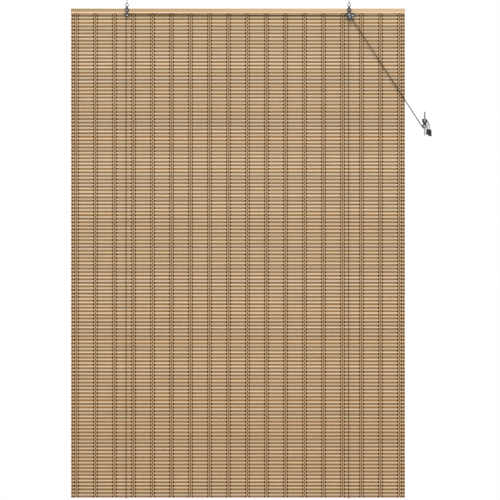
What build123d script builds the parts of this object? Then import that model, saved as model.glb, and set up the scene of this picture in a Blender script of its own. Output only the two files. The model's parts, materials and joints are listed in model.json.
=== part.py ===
from build123d import *
import os
from math import asin, atan2, cos, hypot, pi, sin, tan

# A bamboo roller blind, in millimetres. The origin lies midway between the two ceiling hooks, on the
# ceiling. +X is to the viewer's right, -Y is the front of the blind and +Z is up.

# Mat of flat slats, woven with yarn, that rolls up from its bottom edge
MAT_WIDTH = 1500.0
LIGHT_SLAT_HEIGHT = 6.4
DARK_SLAT_HEIGHT = 9.2
SLAT_GAP = 0.2
SLAT_THICKNESS = 1.6
SLAT_STEP = 0.8  # the light slats stand this far in front of the dark ones
MAT_MIDDLE_Y = 0.9  # behind the hooks, which are above the blind's centre of mass
SLAT_EDGE = 0.4  # bevel along the front edges of a slat
HIDDEN_PAIRS = 1  # pairs of slats behind the batten
HEAD_PAIRS = 7  # pairs that hang straight down from the batten
ROLL_PAIRS = [5] * 21 + [4] * 3 + [3] * 4  # pairs in each section that rolls, from the top

# Warp yarns, in lines of three strands side by side
YARN_LINES = 18
YARN_SIDE_MARGIN = 24.525  # from the mat's sides to the middle of the outermost lines
YARN_STRANDS = (-8.8, 0.0, 8.8)
YARN_WIDTH = 4.0
YARN_THICKNESS = 0.5
YARN_CLEARANCE = 0.2
YARN_END = 1.0  # the strands stop this far inside the mat's edges

# Top batten
BATTEN_TOP = -24.0
BATTEN_HEIGHT = 20.0
BATTEN_DEPTH = 10.0
BATTEN_EDGE = 1.2
BATTEN_CLEARANCE = 0.1

# Ceiling hooks, and the hangers that link them to the batten
HOOK_SPACING = 998.0
HANG_LINE_Y = 0.0
HOOK_WIRE = 3.0
HOOK_RING_DIAMETER = 14.0  # to the middle of the wire
SHANK_DIAMETER = 3.2
SHANK_LENGTH = 22.0
SHANK_TIP = 4.0
POINT_DIAMETER = 0.6  # at the tip of a hook's or a screw's point
COLLAR_DIAMETER = 7.0
COLLAR_THICKNESS = 1.2
HANGER_WIRE = 2.4
HANGER_RING_DIAMETER = 9.4
LINK_CLEARANCE = 0.05
HANGER_PLATE_WIDTH = 20.0
HANGER_PLATE_HEIGHT = 24.6
HANGER_RISE = 5.0  # the plate's top is this far above the batten
HANGER_THICKNESS = 1.4
HANGER_STRAP_WIDTH = 9.0

# Screws of the hangers and the pulleys
SCREW_DIAMETER = 2.4
SCREW_LENGTH = 8.0
SCREW_HEAD_DIAMETER = 5.0
SCREW_HEAD_HEIGHT = 1.6
HEAD_CROWN = 0.6  # share of the head's diameter that its top has
SCREW_CLEARANCE = 0.05

# Pulleys
SHEAVE_DIAMETER = 14.0
SHEAVE_WIDTH = 4.8
SHEAVE_RIM = 0.5
SHEAVE_FLOOR = 0.8  # width of the groove's floor, as a share of its mouth
CORD_WRAP_RADIUS = 5.0  # from the axle to the middle of the cord
AXLE_DIAMETER = 3.0
AXLE_CLEARANCE = 0.05
AXLE_HEAD_DIAMETER = 5.0
AXLE_HEAD_HEIGHT = 0.9
CHEEK_THICKNESS = 1.0
CHEEK_GAP = 0.3
SINGLE_MARGIN = 1.0  # of the cheeks round the wheel
DOUBLE_MARGIN = 4.0
BRIDGE_SCREW_HEAD = 4.2
SINGLE_SCREWS = (-9.4, 9.4)  # from the axle
DOUBLE_SCREWS = (-14.0, 14.0)
SINGLE_AXLE_DROP = 10.0  # below the batten
DOUBLE_AXLE_DROP = 19.0
SINGLE_FRAME = (-12.0, 12.0)  # the frame's sides, from its axle
DOUBLE_FRAME = (-18.0, 20.0)
SINGLE_SHOULDER = 6.0  # height of the frame's square part
DOUBLE_SHOULDER = 12.0
GUIDE_PIN_X = 12.0
GUIDE_PIN_DROP = 12.0

# Cords
CORD_DIAMETER = 2.6
CORD_CLEARANCE = 0.3
LEFT_CORD_X = -503.0
RIGHT_CORD_X = 496.5
BOTTOM_FLAT = 0.2  # straight stretch under the mat's edge
BACK_CORD_CLEARANCE = 0.5
CORD_END_DROP = 0.7  # the ends are this far below the light slats behind the batten
KNOT_DIAMETER = 6.0
KNOT_SEAT = 0.05  # between a knot and what it rests against
LEFT_CORD_END_Z = -551.5  # where it reaches the winding
RIGHT_CORD_END_Z = -547.0

# Staples
STAPLES = 9
STAPLE_LINES = 2  # lines of yarn between one staple and the next
STAPLE_WIDTH = 11.0
STAPLE_WIRE = 1.0
STAPLE_DEPTH = 6.0
STAPLE_DROP = 3.0  # below the mat's top, and below a cord's end
CORD_STAPLE_WIDTH = 5.6

# Cleat on the wall beside the blind
CLEAT_X = 838.0
CLEAT_Z = -541.0
CLEAT_BACK_Y = 8.0
CLEAT_LENGTH = 108.0
CLEAT_DEPTH = 26.0
CLEAT_WIDTH = 7.6
CLEAT_BODY_LENGTH = 26.0
CLEAT_FOOT_LENGTH = 36.0
CLEAT_FOOT_THICKNESS = 4.0
CLEAT_HORN_ROOT = 9.0
CLEAT_HORN_TIP = 4.0
CLEAT_HORN_LIFT = 4.0  # the tips stand this far in front of the middle
CLEAT_EDGE = 1.2
CLEAT_SCREW_PITCH = 14.0
CLEAT_SCREW_DIAMETER = 3.0
CLEAT_SCREW_SHANK = 3.4  # the plain part inside the cleat
CLEAT_SCREW_HEAD = 5.6
CLEAT_SCREW_SINK = 4.0
CLEAT_SCREW_HEAD_HEIGHT = 2.2
CLEAT_SCREW_CROWN = 0.7
CLEAT_SCREW_REACH = 16.0  # behind the cleat
FOOT_OVERHANG = 2.0
FOOT_CORNER = 3.0

# Winding of cord on the cleat
WINDING_WIDTH = 25.0
WINDING_LENGTH = 43.0
WINDING_FRONT = 3.5  # in front of the cleat's middle
WINDING_BACK = 6.0  # in front of the wall
WINDING_CLEARANCE = 0.3
WINDING_ROUND = 0.7  # corner radius as a share of half the width
WINDING_BEVEL = 2.0

# Bell-shaped pulls on the two tails of cord
PULL_DIAMETER = 15.0
PULL_CROWN_DIAMETER = 9.6
PULL_WALL = 1.6
PULL_HOLE_CLEARANCE = 0.4
PULL_CROWN = 0.45  # share of its length that is solid round the cord
PULL_KNOT_DIAMETER = 6.2
GREY_PULL_TOP = (852.3, 1.0, -563.0)
GREY_PULL_LENGTH = 27.0
BLACK_PULL_TOP = (861.6, -14.0, -567.0)
BLACK_PULL_LENGTH = 30.0
TAIL_LEAN = 0.3  # between a pull's top and its knot
TAIL_RADIUS_SHARE = 0.45
BLACK_TAIL = [(852.4, -13.0, -530.0), (855.4, -14.6, -538.5), (859.6, -14.4, -552.0)]
GREY_TAIL = [(852.3, -4.0, -538.5), (854.8, -2.4, -545.0), (853.4, 0.2, -554.0)]

# Worked out from the sizes above
PAIR_PITCH = LIGHT_SLAT_HEIGHT + DARK_SLAT_HEIGHT + 2 * SLAT_GAP
YARN_LINE_PITCH = (MAT_WIDTH - 2 * YARN_SIDE_MARGIN) / (YARN_LINES - 1)
DARK_FRONT_Y = MAT_MIDDLE_Y - SLAT_THICKNESS / 2
DARK_BACK_Y = MAT_MIDDLE_Y + SLAT_THICKNESS / 2
LIGHT_FRONT_Y = DARK_FRONT_Y - SLAT_STEP
MAT_TOP = BATTEN_TOP - BATTEN_HEIGHT
MAT_BOTTOM = MAT_TOP - (HEAD_PAIRS + sum(ROLL_PAIRS)) * PAIR_PITCH
YARN_FRONT_Y = LIGHT_FRONT_Y - YARN_CLEARANCE - YARN_THICKNESS
YARN_BACK_Y = DARK_BACK_Y + YARN_CLEARANCE + YARN_THICKNESS
BATTEN_BACK_Y = YARN_FRONT_Y - BATTEN_CLEARANCE
BATTEN_FRONT_Y = BATTEN_BACK_Y - BATTEN_DEPTH
BATTEN_MIDDLE_Z = BATTEN_TOP - BATTEN_HEIGHT / 2
HOOK_RING_Z = -COLLAR_THICKNESS - HOOK_RING_DIAMETER / 2
HANGER_RING_Z = (HOOK_RING_Z - (HOOK_RING_DIAMETER + HANGER_RING_DIAMETER) / 2
                 + (HOOK_WIRE + HANGER_WIRE) / 2 + LINK_CLEARANCE)
SHEAVE_PITCH = SHEAVE_WIDTH + CHEEK_THICKNESS + 2 * CHEEK_GAP
REAR_CHEEK_Y = BATTEN_BACK_Y - CHEEK_THICKNESS / 2
REAR_SHEAVE_Y = REAR_CHEEK_Y - SHEAVE_PITCH / 2
FRONT_SHEAVE_Y = REAR_SHEAVE_Y - SHEAVE_PITCH
LEFT_AXLE_Z = MAT_TOP - SINGLE_AXLE_DROP
RIGHT_AXLE_Z = MAT_TOP - DOUBLE_AXLE_DROP
CORD_TOP_Z = LEFT_AXLE_Z + CORD_WRAP_RADIUS
LEFT_WHEEL_X = LEFT_CORD_X + CORD_WRAP_RADIUS
RIGHT_WHEEL_X = RIGHT_CORD_X + CORD_WRAP_RADIUS
BACK_CORD_Y = YARN_BACK_Y + BACK_CORD_CLEARANCE + CORD_DIAMETER / 2
BOTTOM_TURN_RADIUS = (BACK_CORD_Y - REAR_SHEAVE_Y - BOTTOM_FLAT) / 2
CORD_BOTTOM_Z = MAT_BOTTOM - BOTTOM_TURN_RADIUS + CORD_DIAMETER / 2
CORD_END_Z = MAT_TOP + HIDDEN_PAIRS * PAIR_PITCH - SLAT_GAP / 2 - LIGHT_SLAT_HEIGHT - CORD_END_DROP
CORD_LANDING_X = CLEAT_X - WINDING_WIDTH / 2 - CORD_CLEARANCE - CORD_DIAMETER / 2
HANGER_SCREW_Z = BATTEN_TOP + HANGER_RISE - HANGER_PLATE_HEIGHT / 2
CLEAT_MIDDLE_Y = CLEAT_BACK_Y - CLEAT_DEPTH + CLEAT_HORN_LIFT


def export(node, *shapes):
    """Write one sub-part, made of one or more solids, under its own name."""
    solids = [solid for shape in shapes for solid in shape.solids()]
    whole = solids[0] if len(solids) == 1 else Compound(solids)
    whole.label = node
    export_step(whole, f"parts/{node}.step")


def box(low, high):
    """A box between its lowest and its highest corner."""
    size = [b - a for a, b in zip(low, high)]
    return Pos(*low) * Box(*size, align=(Align.MIN, Align.MIN, Align.MIN))


def rod(start, end, diameter, end_diameter=None):
    """A round rod between two points, tapered if its end has a diameter of its own."""
    start, end = Vector(*start), Vector(*end)
    at, length = Plane(origin=start, z_dir=end - start), (end - start).length
    if end_diameter is None:
        return Solid.make_cylinder(diameter / 2, length, at)
    return Solid.make_cone(diameter / 2, end_diameter / 2, length, at)


def tube(name, points, radii):
    """A cord along straight runs that tangent arcs join, with one radius for each corner."""
    path = FilletPolyline(*points, radius=radii)
    made = sweep(Plane(origin=path @ 0, z_dir=path % 0) * Circle(CORD_DIAMETER / 2), path=path)
    share = made.volume / (path.length * pi * CORD_DIAMETER ** 2 / 4)
    print(f"{name}: {path.length:.1f} mm long, radii {[round(r, 1) for r in radii]}, volume x{share:.4f}")
    return made


def loose_radii(points):
    """The largest radius that each corner of a loose cord has room for."""
    radii = []
    for before, at, after in zip(points, points[1:], points[2:]):
        near, far = Vector(*at) - Vector(*before), Vector(*after) - Vector(*at)
        half_turn = near.get_angle(far) * pi / 360
        radii.append(TAIL_RADIUS_SHARE * min(near.length, far.length) / tan(half_turn))
    return radii


def screw(head, direction, length, diameter, head_diameter, head_height):
    """A screw whose head's flat side lies at a point, with the shank going on from it."""
    head, direction = Vector(*head), Vector(*direction)
    dome = rod(head, head - direction * head_height, head_diameter, head_diameter * HEAD_CROWN)
    return dome + rod(head, head + direction * length, diameter)


def slat(height, front_y):
    """One flat slat that hangs below z = 0, with its two front edges bevelled."""
    back_y = front_y + SLAT_THICKNESS
    outline = Polygon(
        (back_y, 0), (back_y, -height), (front_y + SLAT_EDGE, -height),
        (front_y, -height + SLAT_EDGE), (front_y, -SLAT_EDGE), (front_y + SLAT_EDGE, 0), align=None,
    )
    return extrude(Plane.YZ * outline, MAT_WIDTH / 2, both=True)


def slat_pairs(top, pairs):
    """The slats of some pairs below a height: in each pair a light one, then a dark one."""
    light = slat(LIGHT_SLAT_HEIGHT, LIGHT_FRONT_Y)
    dark = slat(DARK_SLAT_HEIGHT, DARK_FRONT_Y)
    made = []
    for pair in range(pairs):
        z = top - pair * PAIR_PITCH - SLAT_GAP / 2
        made.append(Pos(0, 0, z) * light)
        made.append(Pos(0, 0, z - LIGHT_SLAT_HEIGHT - SLAT_GAP) * dark)
    return made


def yarns(near_y, far_y):
    """The strands of the warp yarn on one face of the mat."""
    bottom, top = MAT_BOTTOM + YARN_END, MAT_TOP + HIDDEN_PAIRS * PAIR_PITCH - YARN_END
    made = []
    for line in range(YARN_LINES):
        middle = (line - (YARN_LINES - 1) / 2) * YARN_LINE_PITCH
        for strand in YARN_STRANDS:
            left = middle + strand - YARN_WIDTH / 2
            made.append(box((left, near_y, bottom), (left + YARN_WIDTH, far_y, top)))
    return made


def staple(place, spare=0.0):
    """A staple's crown and two legs, pressed forward through the mat into the batten."""
    x, z, width, crown_y = place
    reach, half = (width - STAPLE_WIRE) / 2, STAPLE_WIRE / 2 + spare
    tip_y = BATTEN_BACK_Y - STAPLE_DEPTH - spare
    legs = [
        box((x + side - half, tip_y, z - half), (x + side + half, crown_y, z + half))
        for side in (-reach, reach)
    ]
    crown = box((x - width / 2, crown_y, z - half), (x + width / 2, crown_y + STAPLE_WIRE, z + half))
    return crown, legs


def staple_places():
    """The staples that hold the mat, then the two over the ends of the cords."""
    mat_crown = YARN_BACK_Y + YARN_CLEARANCE
    cord_crown = BACK_CORD_Y + CORD_DIAMETER / 2 + YARN_CLEARANCE
    places = []
    for i in range(STAPLES):
        x = (i - (STAPLES - 1) / 2) * STAPLE_LINES * YARN_LINE_PITCH
        places.append((x, MAT_TOP + HIDDEN_PAIRS * PAIR_PITCH - STAPLE_DROP, STAPLE_WIDTH, mat_crown))
    for x in (LEFT_CORD_X, RIGHT_CORD_X):
        places.append((x, CORD_END_Z - STAPLE_DROP, CORD_STAPLE_WIDTH, cord_crown))
    return places


def less(solid, tools):
    """A solid less those of the tools that reach its box."""
    near = solid.bounding_box()
    for tool in tools:
        at = tool.bounding_box()
        gaps = [at.min.X - near.max.X, near.min.X - at.max.X, at.min.Y - near.max.Y,
                near.min.Y - at.max.Y, at.min.Z - near.max.Z, near.min.Z - at.max.Z]
        if max(gaps) < 0:
            solid = solid - tool
    return solid


def batten(cuts):
    """The planed batten that carries the mat, with its front edges rounded."""
    low = (-MAT_WIDTH / 2, BATTEN_FRONT_Y, BATTEN_TOP - BATTEN_HEIGHT)
    made = box(low, (MAT_WIDTH / 2, BATTEN_BACK_Y, BATTEN_TOP))
    front = made.edges().filter_by(Axis.X).group_by(Axis.Y)[0]
    return less(fillet(front, BATTEN_EDGE), cuts)


def ceiling_hook(x):
    """A closed screw hook: a pointed shank, a collar against the ceiling and a ring under it."""
    straight = SHANK_LENGTH - SHANK_TIP
    shank = rod((x, HANG_LINE_Y, -COLLAR_THICKNESS), (x, HANG_LINE_Y, straight), SHANK_DIAMETER)
    point = rod((x, HANG_LINE_Y, straight), (x, HANG_LINE_Y, SHANK_LENGTH), SHANK_DIAMETER,
                POINT_DIAMETER)
    collar = rod((x, HANG_LINE_Y, -COLLAR_THICKNESS), (x, HANG_LINE_Y, 0), COLLAR_DIAMETER)
    ring = Torus(HOOK_RING_DIAMETER / 2, HOOK_WIRE / 2)
    return shank + point + collar + Pos(x, HANG_LINE_Y, HOOK_RING_Z) * Rot(90, 0, 0) * ring


def hanger(x):
    """A pressed hanger: a ring, a strap over the batten and an oval plate screwed to its front."""
    ring = Torus(HANGER_RING_DIAMETER / 2, HANGER_WIRE / 2)
    ring = Pos(x, HANG_LINE_Y, HANGER_RING_Z) * Rot(0, 90, 0) * ring
    strap_top = BATTEN_TOP + HANGER_THICKNESS
    neck_top = HANGER_RING_Z - HANGER_RING_DIAMETER / 2
    neck = rod((x, HANG_LINE_Y, BATTEN_TOP), (x, HANG_LINE_Y, neck_top), HANGER_WIRE)
    front_y, back_y = BATTEN_FRONT_Y - HANGER_THICKNESS, HANG_LINE_Y + HANGER_WIRE / 2
    half = HANGER_STRAP_WIDTH / 2
    strap = box((x - half, front_y, BATTEN_TOP), (x + half, back_y, strap_top))
    at_front = Plane(origin=(x, BATTEN_FRONT_Y, HANGER_SCREW_Z), x_dir=(1, 0, 0), z_dir=(0, -1, 0))
    plate = extrude(at_front * Ellipse(HANGER_PLATE_WIDTH / 2, HANGER_PLATE_HEIGHT / 2), HANGER_THICKNESS)
    hole = rod((x, BATTEN_FRONT_Y, HANGER_SCREW_Z), (x, front_y - 1, HANGER_SCREW_Z),
               SCREW_DIAMETER + 2 * SCREW_CLEARANCE)
    return ring + neck + strap + plate - hole


def sheave(x, y, axle_z):
    """A grooved pulley wheel that turns on an axle along Y."""
    outer, half = SHEAVE_DIAMETER / 2, SHEAVE_WIDTH / 2
    root = CORD_WRAP_RADIUS - CORD_DIAMETER / 2 - CORD_CLEARANCE
    mouth = half - SHEAVE_RIM
    bore = AXLE_DIAMETER / 2 + AXLE_CLEARANCE
    outline = Polygon(
        (bore, -half), (outer, -half), (outer, -mouth), (root, -mouth * SHEAVE_FLOOR),
        (root, mouth * SHEAVE_FLOOR), (outer, mouth), (outer, half), (bore, half), align=None,
    )
    return Pos(x, y, axle_z) * revolve(outline, Axis.Y)


def pulley_frame(x, axle_z, sheaves, sides, shoulder, margin):
    """A folded frame under the batten, with a cheek on each side of every wheel."""
    left, right = sides
    middles = [REAR_CHEEK_Y - i * SHEAVE_PITCH for i in range(sheaves + 1)]
    round_radius = SHEAVE_DIAMETER / 2 + margin
    low_z = MAT_TOP - shoulder
    upper = Polygon(
        (left, MAT_TOP), (right, MAT_TOP), (right, low_z), (round_radius, axle_z),
        (-round_radius, axle_z), (left, low_z), align=None,
    )
    outline = upper + Pos(0, axle_z) * Circle(round_radius)
    made = box((x + left, middles[-1] - CHEEK_THICKNESS / 2, MAT_TOP - CHEEK_THICKNESS),
               (x + right, middles[0] + CHEEK_THICKNESS / 2, MAT_TOP))
    for y in middles:
        at = Plane(origin=(x, y + CHEEK_THICKNESS / 2, 0), x_dir=(1, 0, 0), z_dir=(0, -1, 0))
        made += extrude(at * outline, CHEEK_THICKNESS, dir=(0, -1, 0))
    return made, middles[0] + CHEEK_THICKNESS / 2, middles[-1] - CHEEK_THICKNESS / 2


def rivet(x, z, back_y, front_y):
    """A pin through all the cheeks of a frame, with a head at its front, and the hole for it."""
    pin = rod((x, back_y, z), (x, front_y, z), AXLE_DIAMETER)
    head = rod((x, front_y, z), (x, front_y - AXLE_HEAD_HEIGHT, z), AXLE_HEAD_DIAMETER, AXLE_DIAMETER)
    hole = rod((x, back_y + 1, z), (x, front_y - 1, z), AXLE_DIAMETER + 2 * AXLE_CLEARANCE)
    return pin + head, hole


def leaving_angle(end_z):
    """The direction, from the right wheels' axle, of the point where a taut run to the cleat leaves them."""
    dx, dz = CORD_LANDING_X - RIGHT_WHEEL_X, end_z - RIGHT_AXLE_Z
    return atan2(dz, dx) - asin(CORD_WRAP_RADIUS / hypot(dx, dz)) + pi / 2


def corner_between(first, second):
    """Where the cord's tangents at two such directions meet, in X and Z."""
    middle, reach = (first + second) / 2, CORD_WRAP_RADIUS / cos((first - second) / 2)
    return RIGHT_WHEEL_X + reach * cos(middle), RIGHT_AXLE_Z + reach * sin(middle)


def lift_cord(name, x, end_z):
    """A lift cord, one length from its end behind the batten, round the mat's bottom edge, up the front,
    over the pulleys and down to the cleat. The left cord crosses to the right pulley's front wheel."""
    up_y = REAR_SHEAVE_Y
    points = [(x, BACK_CORD_Y, CORD_END_Z), (x, BACK_CORD_Y, CORD_BOTTOM_Z), (x, up_y, CORD_BOTTOM_Z)]
    radii = [BOTTOM_TURN_RADIUS, BOTTOM_TURN_RADIUS]
    arriving, down_y = pi, up_y
    if x < 0:
        points.append((x, up_y, CORD_TOP_Z))
        radii.append(CORD_WRAP_RADIUS)
        arriving, down_y = pi / 2, FRONT_SHEAVE_Y
    corner_x, corner_z = corner_between(arriving, leaving_angle(end_z))
    points += [(corner_x, down_y, corner_z), (CORD_LANDING_X, down_y, end_z)]
    radii.append(CORD_WRAP_RADIUS)
    return tube(name, points, radii)


def cleat_outline(grow=0.0):
    """The side view of the cleat: foot against the wall, body and two horns, in Y and Z."""
    back, middle = CLEAT_BACK_Y, CLEAT_MIDDLE_Y
    root, tip, half = CLEAT_HORN_ROOT, CLEAT_HORN_TIP, CLEAT_LENGTH / 2
    body = CLEAT_BODY_LENGTH / 2 + grow
    outline = Polygon(
        (back, -body), (back, body), (middle + root + grow, body), (middle + root + grow, body + 1),
        (middle + grow - CLEAT_HORN_LIFT + tip, half), (middle - grow - CLEAT_HORN_LIFT, half),
        (middle - grow, body), (middle - grow, -body), (middle - grow - CLEAT_HORN_LIFT, -half),
        (middle + grow - CLEAT_HORN_LIFT + tip, -half), (middle + root + grow, -body - 1),
        (middle + root + grow, -body), align=None,
    )
    return Plane(origin=(CLEAT_X, 0, CLEAT_Z), x_dir=(0, 1, 0), z_dir=(1, 0, 0)) * outline


def cleat_screw_heights():
    return [CLEAT_Z - CLEAT_SCREW_PITCH / 2, CLEAT_Z + CLEAT_SCREW_PITCH / 2]


def cord_cleat():
    """A cast cleat with two horns and a foot, and two countersunk holes through its body."""
    made = extrude(cleat_outline(), CLEAT_WIDTH / 2, both=True)
    made = fillet(made.edges().filter_by(Axis.X).group_by(Axis.Y)[0], CLEAT_EDGE)
    foot_half = CLEAT_FOOT_LENGTH / 2
    foot_side = CLEAT_WIDTH / 2 + FOOT_OVERHANG
    foot = box((CLEAT_X - foot_side, CLEAT_BACK_Y - CLEAT_FOOT_THICKNESS, CLEAT_Z - foot_half),
               (CLEAT_X + foot_side, CLEAT_BACK_Y, CLEAT_Z + foot_half))
    made += fillet(foot.edges().filter_by(Axis.Y), FOOT_CORNER)
    front_y = CLEAT_MIDDLE_Y - CLEAT_HORN_LIFT
    for z in cleat_screw_heights():
        made -= rod((CLEAT_X, CLEAT_BACK_Y + 1, z), (CLEAT_X, front_y, z),
                    CLEAT_SCREW_SHANK + 2 * SCREW_CLEARANCE)
        made -= rod((CLEAT_X, CLEAT_MIDDLE_Y + CLEAT_SCREW_SINK, z), (CLEAT_X, front_y, z),
                    CLEAT_SCREW_HEAD + 2 * SCREW_CLEARANCE)
    return made


def cleat_screws():
    """The two screws that hold the cleat, with their points behind it."""
    made = []
    for z in cleat_screw_heights():
        head_y = CLEAT_MIDDLE_Y + CLEAT_SCREW_SINK
        tip_y = CLEAT_BACK_Y + CLEAT_SCREW_REACH
        shank = rod((CLEAT_X, head_y, z), (CLEAT_X, CLEAT_BACK_Y, z), CLEAT_SCREW_SHANK)
        thread = rod((CLEAT_X, CLEAT_BACK_Y, z), (CLEAT_X, tip_y - SHANK_TIP, z), CLEAT_SCREW_DIAMETER)
        point = rod((CLEAT_X, tip_y - SHANK_TIP, z), (CLEAT_X, tip_y, z), CLEAT_SCREW_DIAMETER,
                    POINT_DIAMETER)
        head = rod((CLEAT_X, head_y, z), (CLEAT_X, head_y - CLEAT_SCREW_HEAD_HEIGHT, z), CLEAT_SCREW_HEAD,
                   CLEAT_SCREW_HEAD * CLEAT_SCREW_CROWN)
        made.append(shank + thread + point + head)
    return made


def cleat_winding():
    """The outer shape of the turns of cord round the body of the cleat and over its front."""
    half_x, half_z = WINDING_WIDTH / 2, WINDING_LENGTH / 2
    front, back = CLEAT_MIDDLE_Y - WINDING_FRONT, CLEAT_BACK_Y - WINDING_BACK
    made = box((CLEAT_X - half_x, front, CLEAT_Z - half_z), (CLEAT_X + half_x, back, CLEAT_Z + half_z))
    made = fillet(made.edges().filter_by(Axis.Y), half_x * WINDING_ROUND)
    made = chamfer(made.faces().filter_by(Axis.Y).edges(), WINDING_BEVEL)
    room = CLEAT_WIDTH / 2 + WINDING_CLEARANCE
    return made - extrude(cleat_outline(WINDING_CLEARANCE), room, both=True)


def pull(top, length):
    """A bell-shaped pull, hollow from below, with a hole in its crown for the cord."""
    crown, mouth = PULL_CROWN_DIAMETER / 2, PULL_DIAMETER / 2
    hole = CORD_DIAMETER / 2 + PULL_HOLE_CLEARANCE
    shoulder = -length * PULL_CROWN
    outside = [(hole, 0), (crown, 0), (crown + 1.2, shoulder * 0.5), (mouth - 1.0, shoulder * 1.3)]
    outside += [(mouth, -length + 2.0), (mouth - 0.6, -length)]
    inside = [(mouth - PULL_WALL, -length), (mouth - PULL_WALL - 0.8, shoulder * 1.3),
              (crown - 0.2, shoulder), (hole, shoulder)]
    outline = Plane.XZ * Polygon(*outside, *inside, align=None)
    return Pos(*top) * revolve(outline, Axis.Z)


def pull_knot(top, length):
    """The knot that a pull hangs on, inside its crown."""
    radius = PULL_KNOT_DIAMETER / 2
    return Pos(top[0], top[1], top[2] - length * PULL_CROWN - radius - KNOT_SEAT) * Sphere(radius)


def tail(name, route, top, length):
    """A tail of cord that hangs from the winding and goes down through its pull to the knot."""
    x, y, z = top
    points = [*route, top, (x + TAIL_LEAN, y, z - length * PULL_CROWN)]
    return tube(name, points, loose_radii(points))


os.makedirs("parts", exist_ok=True)

wires = [staple(place) for place in staple_places()]
slots = [leg for place in staple_places() for leg in staple(place, SCREW_CLEARANCE)[1]]
hanger_xs = (-HOOK_SPACING / 2, HOOK_SPACING / 2)
hanger_screws = [
    screw((x, BATTEN_FRONT_Y - HANGER_THICKNESS, HANGER_SCREW_Z), (0, 1, 0), SCREW_LENGTH, SCREW_DIAMETER,
          SCREW_HEAD_DIAMETER, SCREW_HEAD_HEIGHT)
    for x in hanger_xs
]
frames = {
    "left": (LEFT_WHEEL_X, LEFT_AXLE_Z, 1, SINGLE_FRAME, SINGLE_SHOULDER, SINGLE_MARGIN, SINGLE_SCREWS),
    "right": (RIGHT_WHEEL_X, RIGHT_AXLE_Z, 2, DOUBLE_FRAME, DOUBLE_SHOULDER, DOUBLE_MARGIN, DOUBLE_SCREWS),
}
screw_holes, pulley_screws = [], []
for x in hanger_xs:
    hole_end = (x, BATTEN_FRONT_Y + SCREW_LENGTH, HANGER_SCREW_Z)
    screw_holes.append(rod((x, BATTEN_FRONT_Y - 1, HANGER_SCREW_Z), hole_end,
                           SCREW_DIAMETER + 2 * SCREW_CLEARANCE))
for x, *_, offsets in frames.values():
    for offset in offsets:
        at = (x + offset, REAR_SHEAVE_Y, MAT_TOP - CHEEK_THICKNESS)
        pulley_screws.append(screw(at, (0, 0, 1), SCREW_LENGTH, SCREW_DIAMETER, BRIDGE_SCREW_HEAD,
                                   SCREW_HEAD_HEIGHT))
        screw_holes.append(rod((at[0], at[1], at[2] - 1), (at[0], at[1], at[2] + SCREW_LENGTH + 0.1),
                               SCREW_DIAMETER + 2 * SCREW_CLEARANCE))

export("top_batten", batten(slots + screw_holes))
head_top = MAT_TOP + HIDDEN_PAIRS * PAIR_PITCH
export("mat_head", *[less(s, slots) for s in slat_pairs(head_top, HIDDEN_PAIRS + HEAD_PAIRS)])
section_top = MAT_TOP - HEAD_PAIRS * PAIR_PITCH
for number, pairs in enumerate(ROLL_PAIRS, start=1):
    export(f"mat_section_{number:02d}", *slat_pairs(section_top, pairs))
    section_top -= pairs * PAIR_PITCH
export("warp_yarns_front", *yarns(YARN_FRONT_Y, YARN_FRONT_Y + YARN_THICKNESS))
export("warp_yarns_back", *yarns(YARN_BACK_Y - YARN_THICKNESS, YARN_BACK_Y))
export("staples", *[crown + legs[0] + legs[1] for crown, legs in wires])

for side, x in zip(("left", "right"), hanger_xs):
    export(f"ceiling_hook_{side}", ceiling_hook(x))
    export(f"hanger_{side}", hanger(x))
export("hanger_screws", *hanger_screws)

for side, (x, axle_z, sheaves, sides, shoulder, margin, offsets) in frames.items():
    frame, back_y, front_y = pulley_frame(x, axle_z, sheaves, sides, shoulder, margin)
    axle, axle_hole = rivet(x, axle_z, back_y, front_y)
    frame -= axle_hole
    for offset in offsets:
        frame -= rod((x + offset, REAR_SHEAVE_Y, MAT_TOP + 1), (x + offset, REAR_SHEAVE_Y, MAT_TOP - 2),
                     SCREW_DIAMETER + 2 * SCREW_CLEARANCE)
    if side == "right":
        guide, guide_hole = rivet(x + GUIDE_PIN_X, MAT_TOP - GUIDE_PIN_DROP, back_y, front_y)
        frame -= guide_hole
        export("guide_pin", guide)
    export(f"pulley_frame_{side}", frame)
    export(f"pulley_axle_{side}", axle)
export("pulley_wheel_left", sheave(LEFT_WHEEL_X, REAR_SHEAVE_Y, LEFT_AXLE_Z))
export("pulley_wheel_right_rear", sheave(RIGHT_WHEEL_X, REAR_SHEAVE_Y, RIGHT_AXLE_Z))
export("pulley_wheel_right_front", sheave(RIGHT_WHEEL_X, FRONT_SHEAVE_Y, RIGHT_AXLE_Z))
export("pulley_screws", *pulley_screws)

export("lift_cord_left", lift_cord("left lift cord", LEFT_CORD_X, LEFT_CORD_END_Z))
export("lift_cord_right", lift_cord("right lift cord", RIGHT_CORD_X, RIGHT_CORD_END_Z))
knots = [
    Pos(x, BACK_CORD_Y, CORD_END_Z + KNOT_DIAMETER / 2 + KNOT_SEAT) * Sphere(KNOT_DIAMETER / 2)
    for x in (LEFT_CORD_X, RIGHT_CORD_X)
]
export("cord_end_knots", *knots)

export("cord_cleat", cord_cleat())
export("cleat_screws", *cleat_screws())
export("cleat_winding", cleat_winding())
export("cord_tail_black", tail("tail of the black pull", BLACK_TAIL, BLACK_PULL_TOP, BLACK_PULL_LENGTH))
export("cord_tail_grey", tail("tail of the grey pull", GREY_TAIL, GREY_PULL_TOP, GREY_PULL_LENGTH))
export("pull_black", pull(BLACK_PULL_TOP, BLACK_PULL_LENGTH))
export("pull_grey", pull(GREY_PULL_TOP, GREY_PULL_LENGTH))
pull_knots = [pull_knot(BLACK_PULL_TOP, BLACK_PULL_LENGTH), pull_knot(GREY_PULL_TOP, GREY_PULL_LENGTH)]
export("pull_knots", *pull_knots)
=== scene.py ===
import bpy
import bmesh
import json
import math
import random
from mathutils import Matrix, Vector, noise


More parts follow.
